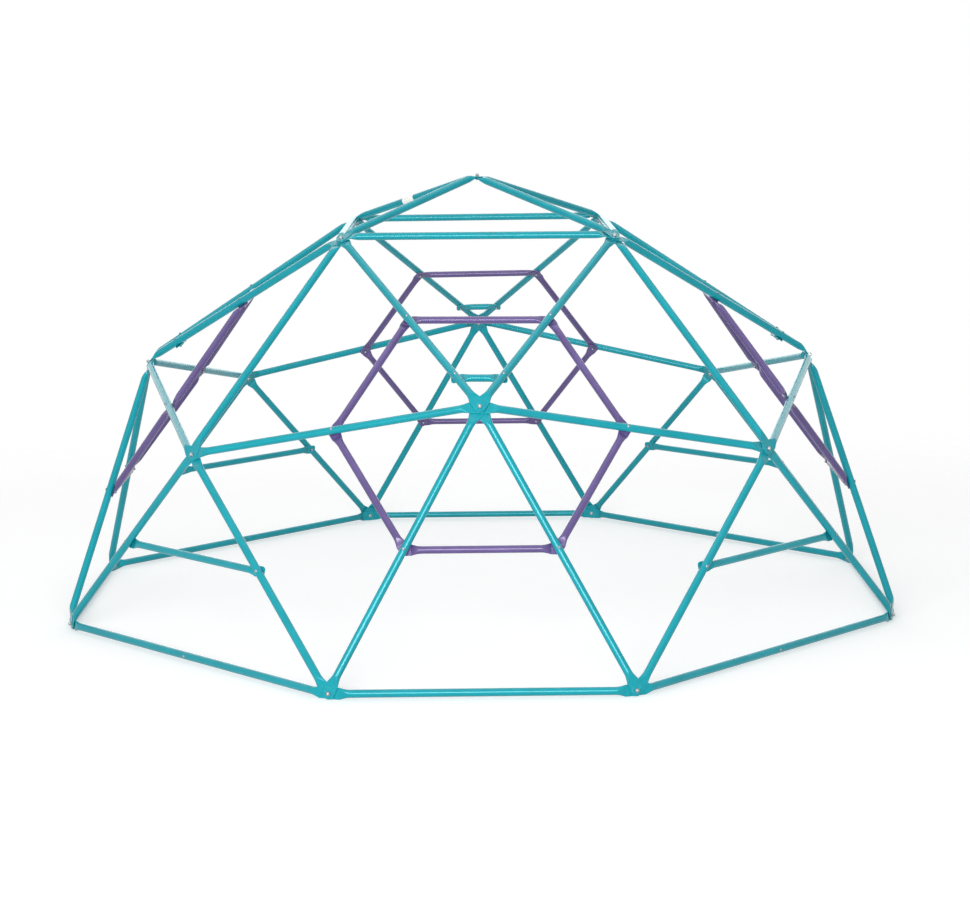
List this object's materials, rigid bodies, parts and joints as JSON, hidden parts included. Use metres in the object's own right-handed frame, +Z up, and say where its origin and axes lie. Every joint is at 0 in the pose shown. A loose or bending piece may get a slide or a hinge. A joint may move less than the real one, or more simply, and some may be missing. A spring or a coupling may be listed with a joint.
{
  "type": "dome climber",
  "caption": "Dome climber: playground frame of straight steel tubes with pressed flat ends, bolted into triangles, for children to climb over, hang from and crawl through.",
  "frame": {"origin": "on the ground, straight below the top hub", "axes": "+Z up; -Y towards the front face, the one seen head on in the picture; +X to the right seen from the front"},
  "size_m": [2.8912, 2.8912, 1.5404],
  "materials": {
    "teal_paint": "glossy powder coat",
    "purple_paint": "glossy powder coat",
    "zinc": "bright zinc plate",
    "label": "blank satin film"
  },
  "bodies": {
    "root": {"crown_spoke_front_right": "teal_paint", "crown_bar_front": "teal_paint", "corner_strut_front_right": "teal_paint", "face_struts_front": "teal_paint", "belt_bars_front": "teal_paint", "face_legs_front": "teal_paint", "corner_legs_front_right": "teal_paint", "base_bar_front": "teal_paint", "base_socket_tube_front_right": "teal_paint", "base_plug_tube_front_right": "teal_paint", "bridge_bar_front": "teal_paint", "rung_front_right": "teal_paint", "hexagon_front": "purple_paint", "crown_spoke_back_right": "teal_paint", "crown_bar_right": "teal_paint", "corner_strut_back_right": "teal_paint", "face_struts_right": "teal_paint", "belt_bars_right": "teal_paint", "face_legs_right": "teal_paint", "corner_legs_back_right": "teal_paint", "base_bar_right": "teal_paint", "base_socket_tube_back_right": "teal_paint", "base_plug_tube_back_right": "teal_paint", "bridge_bar_right": "teal_paint", "rung_back_right": "teal_paint", "hexagon_right": "purple_paint", "crown_spoke_back_left": "teal_paint", "crown_bar_back": "teal_paint", "corner_strut_back_left": "teal_paint", "face_struts_back": "teal_paint", "belt_bars_back": "teal_paint", "face_legs_back": "teal_paint", "corner_legs_back_left": "teal_paint", "base_bar_back": "teal_paint", "base_socket_tube_back_left": "teal_paint", "base_plug_tube_back_left": "teal_paint", "bridge_bar_back": "teal_paint", "rung_back_left": "teal_paint", "hexagon_back": "purple_paint", "crown_spoke_front_left": "teal_paint", "crown_bar_left": "teal_paint", "corner_strut_front_left": "teal_paint", "face_struts_left": "teal_paint", "belt_bars_left": "teal_paint", "face_legs_left": "teal_paint", "corner_legs_front_left": "teal_paint", "base_bar_left": "teal_paint", "base_socket_tube_front_left": "teal_paint", "base_plug_tube_front_left": "teal_paint", "bridge_bar_left": "teal_paint", "rung_front_left": "teal_paint", "hexagon_left": "purple_paint", "hub_bolts": "zinc", "hub_nuts": "zinc", "bar_bolts": "zinc", "bar_nuts": "zinc", "joint_screws": "zinc", "joint_nuts": "zinc", "label_wrap": "label"}
  },
  "joints": []
}
